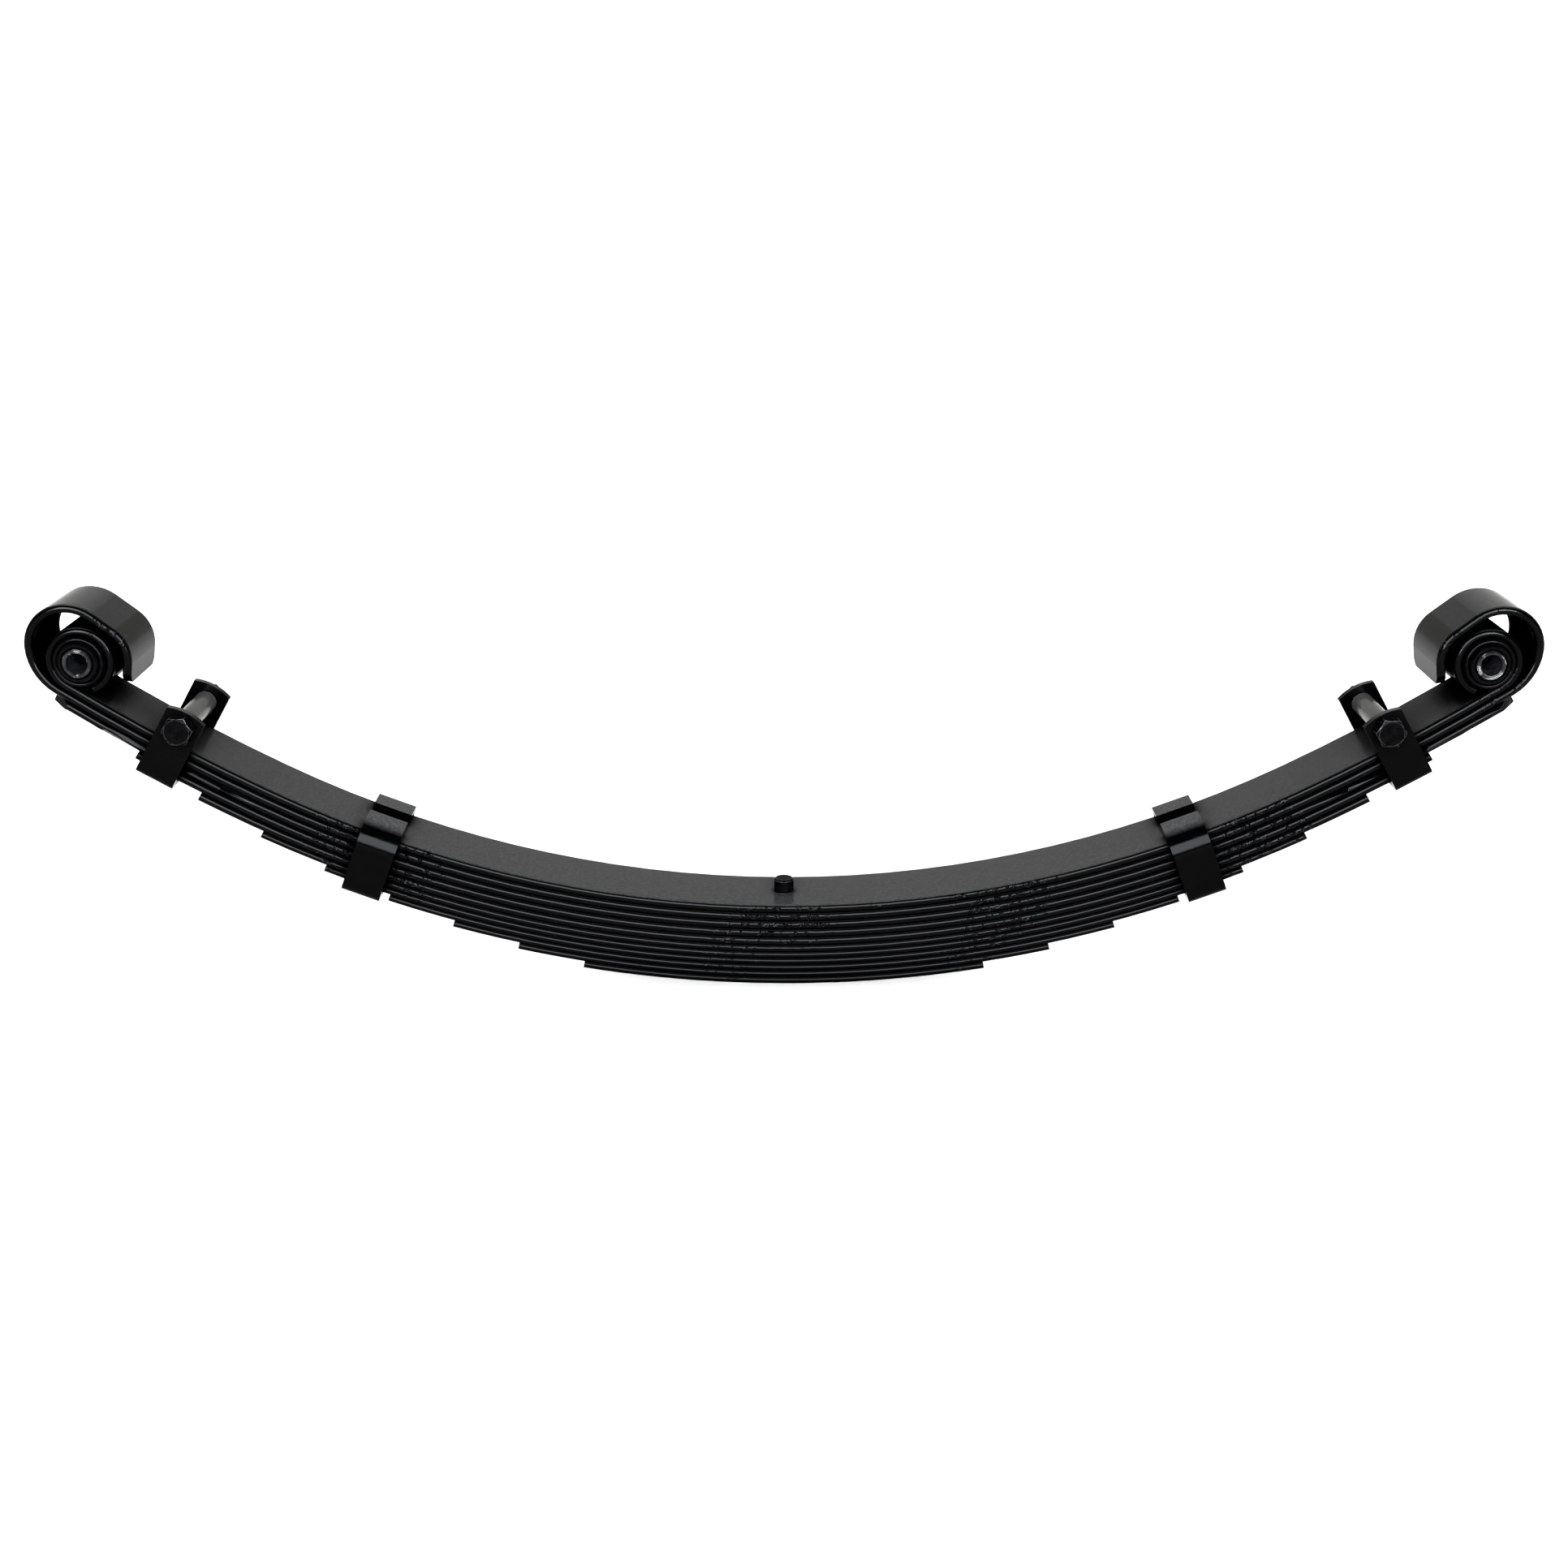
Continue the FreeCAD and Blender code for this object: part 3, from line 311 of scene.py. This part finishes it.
# ---------------------------------------------------------------- softened edges
def soften(name, width):
    """Rounds the sharp edges of a bent or forged piece."""
    item = nodes[name]
    bevel = item.modifiers.new("soft_edges", "BEVEL")
    bevel.width = width
    bevel.segments = 3
    bevel.limit_method = "ANGLE"
    bevel.angle_limit = math.radians(40)
    bevel.harden_normals = True


# ---------------------------------------------------------------- stage
def build_floor(low):
    mesh = bpy.data.meshes.new("floor")
    work = bmesh.new()
    bmesh.ops.create_grid(work, x_segments=1, y_segments=1, size=FLOOR_HALF)
    work.to_mesh(mesh)
    work.free()
    floor = bpy.data.objects.new("floor", mesh)
    floor.location = (0, 0, low - FLOOR_GAP)
    bpy.context.scene.collection.objects.link(floor)
    mesh.materials.append(floor_material())


def floor_group(state):
    """Which lights reach the floor: INCLUDE lights only the floor, EXCLUDE all but the floor."""
    group = bpy.data.collections.new("floor_" + state.lower())
    group.objects.link(bpy.data.objects["floor"])
    group.collection_objects[0].light_linking.link_state = state
    return group


def area_light(name, place, aim, width, height, radiance, colour, group):
    """Soft box of an even radiance, lighting only what its group lets it reach."""
    light = bpy.data.lights.new(name, "AREA")
    light.shape = "RECTANGLE"
    light.size = width
    light.size_y = height
    light.energy = radiance * math.pi * width * height
    light.color = colour
    item = bpy.data.objects.new(name, light)
    item.light_linking.receiver_collection = group
    item.location = place
    item.rotation_mode = "QUATERNION"
    item.rotation_quaternion = (Vector(aim) - Vector(place)).to_track_quat("-Z", "Y")
    bpy.context.scene.collection.objects.link(item)


# studio dome as (height of the direction, strength): bright round the back, dark overhead
DOME = [(0.02, 1.10), (0.12, 1.08), (0.60, 1.08), (0.90, 0.20)]
DOME_TOP = 1.25              # the curve's full scale
FRONT_SHARE = 0.10           # strength of the dome on the front side, as a share
FRONT_FADE = (-0.25, 0.05)   # Y of the directions over which the front gives way to the back
HORIZON_FADE = (0.14, 0.07)  # Z of the directions below which the dome is bright all round


def world_range(tree, source, ends, lowest=0.0):
    """Maps a direction's component between two ends on lowest..1."""
    item = tree.nodes.new("ShaderNodeMapRange")
    item.inputs["From Min"].default_value = ends[0]
    item.inputs["From Max"].default_value = ends[1]
    item.inputs["To Min"].default_value = lowest
    tree.links.new(source, item.inputs["Value"])
    return item.outputs["Result"]


def world_math(tree, operation, first, second):
    item = tree.nodes.new("ShaderNodeMath")
    item.operation = operation
    tree.links.new(first, item.inputs[0])
    if isinstance(second, float):
        item.inputs[1].default_value = second
    else:
        tree.links.new(second, item.inputs[1])
    return item.outputs[0]


def build_world():
    world = bpy.data.worlds.new("studio")
    bpy.context.scene.world = world
    world.use_nodes = True
    tree = world.node_tree
    background = tree.nodes["Background"]
    background.inputs["Color"].default_value = DOME_COLOUR
    direction = tree.nodes.new("ShaderNodeTexCoord")
    split = tree.nodes.new("ShaderNodeSeparateXYZ")
    tree.links.new(direction.outputs["Generated"], split.inputs[0])
    ramp = tree.nodes.new("ShaderNodeFloatCurve")
    tree.links.new(split.outputs["Z"], ramp.inputs["Value"])
    curve = ramp.mapping.curves[0]
    ramp.mapping.extend = "HORIZONTAL"
    for point, (height, strength) in zip((curve.points[0], curve.points[1]), (DOME[0], DOME[-1])):
        point.location = (height, strength / DOME_TOP)
    for height, strength in DOME[1:-1]:
        curve.points.new(height, strength / DOME_TOP)
    ramp.mapping.update()
    strength = world_math(tree, "MULTIPLY", ramp.outputs["Value"], DOME_TOP)
    facing = world_range(tree, split.outputs["Y"], FRONT_FADE, lowest=FRONT_SHARE)
    horizon = world_range(tree, split.outputs["Z"], HORIZON_FADE)
    share = world_math(tree, "MAXIMUM", facing, horizon)
    tree.links.new(world_math(tree, "MULTIPLY", strength, share), background.inputs["Strength"])


def build_lights():
    """Soft boxes in front for the spring alone, and two wide ones that whiten only the floor."""
    flagged = floor_group("EXCLUDE")
    floor_only = floor_group("INCLUDE")
    area_light("front_box", (0, -2.6, 1.20), (0, 0, 0.05), 3.6, 1.5, 58.0, COOL, flagged)
    area_light("floor_box", (0, 0, 12.0), (0, 0, 0), 120.0, 120.0, 2.0, WHITE, floor_only)
    area_light("floor_front", (0, -5.0, 1.6), (0, 0, 0), 6.0, 1.5, 50.0, WHITE, floor_only)
    for side in (-1, 1):
        place = (side * 1.5, -3.0, 0.66)
        area_light("corner_box", place, (side * 0.4, 0, 0.1), 0.7, 0.40, 200.0, COOL, flagged)


def build_camera():
    data = bpy.data.cameras.new("camera")
    data.sensor_width = SENSOR
    data.lens = SENSOR * FOCAL_SHARE
    camera = bpy.data.objects.new("camera", data)
    aim = Vector((0, LEAF_FRONT, CAMERA_HEIGHT_OF_AIM))
    back = Vector((0, -math.cos(CAMERA_TILT), math.sin(CAMERA_TILT)))
    camera.location = aim + back * CAMERA_DISTANCE
    camera.rotation_mode = "QUATERNION"
    roll = Matrix.Rotation(CAMERA_ROLL, 3, back).to_quaternion()
    camera.rotation_quaternion = roll @ (-back).to_track_quat("-Z", "Y")
    bpy.context.scene.collection.objects.link(camera)
    bpy.context.scene.camera = camera


dress_nodes()
for side in ("left", "right"):
    soften(side + "_clip_strap", STRAP_EDGE)
    soften(side + "_band_strap", STRAP_EDGE)
    soften(side + "_clip_spacer", SPACER_EDGE)
build_floor(first_low.z)
build_world()
build_lights()
build_camera()
bpy.context.scene.view_settings.view_transform = "Standard"
bpy.context.scene.view_settings.look = "None"
